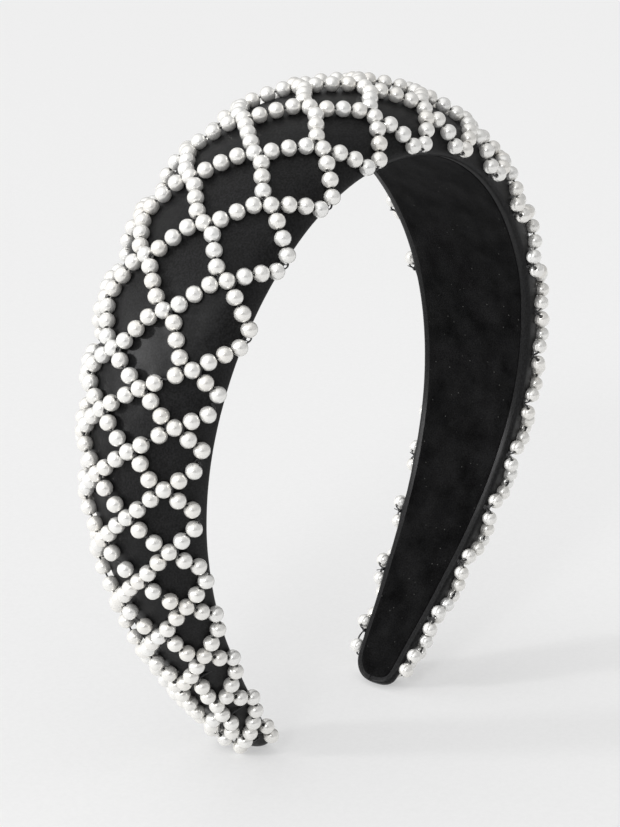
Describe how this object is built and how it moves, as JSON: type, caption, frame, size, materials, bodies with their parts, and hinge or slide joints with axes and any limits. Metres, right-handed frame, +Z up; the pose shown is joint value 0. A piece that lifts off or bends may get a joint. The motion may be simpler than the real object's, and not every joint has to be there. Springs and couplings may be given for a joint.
{
  "type": "padded headband",
  "caption": "Padded black satin headband with a velvet lining, a sprung core inside and an open net of drilled pearl beads sewn over the top.",
  "frame": {"origin": "head seat: the middle of the crown on the head side of the lining", "axes": "+Z up, away from the head at the crown; +X across the head to the wearer's other arm of the band; +Y from the front edge to the back edge; the tips point down, to -Z"},
  "size_m": [0.1541, 0.0492, 0.1637],
  "materials": {
    "core_plastic": "black moulded strip, hidden inside",
    "foam": "dark soft foam, hidden inside",
    "satin": "black satin with a soft sheen",
    "velvet": "black short-pile velvet",
    "pearl": "white pearl lustre",
    "thread": "black twisted thread"
  },
  "bodies": {
    "root": {"spring_core": "core_plastic", "foam_pad": "foam", "satin_cover": "satin", "velvet_lining": "velvet", "front_edge_pearls": "pearl", "joint_pearls_1": "pearl", "net_pearls_1": "pearl", "joint_pearls_2": "pearl", "net_pearls_2": "pearl", "joint_pearls_3": "pearl", "net_pearls_3": "pearl", "joint_pearls_4": "pearl", "back_edge_pearls": "pearl", "front_edge_thread": "thread", "net_thread_1": "thread", "net_thread_2": "thread", "net_thread_3": "thread", "back_edge_thread": "thread", "front_edge_knots": "thread", "back_edge_knots": "thread"}
  },
  "joints": []
}
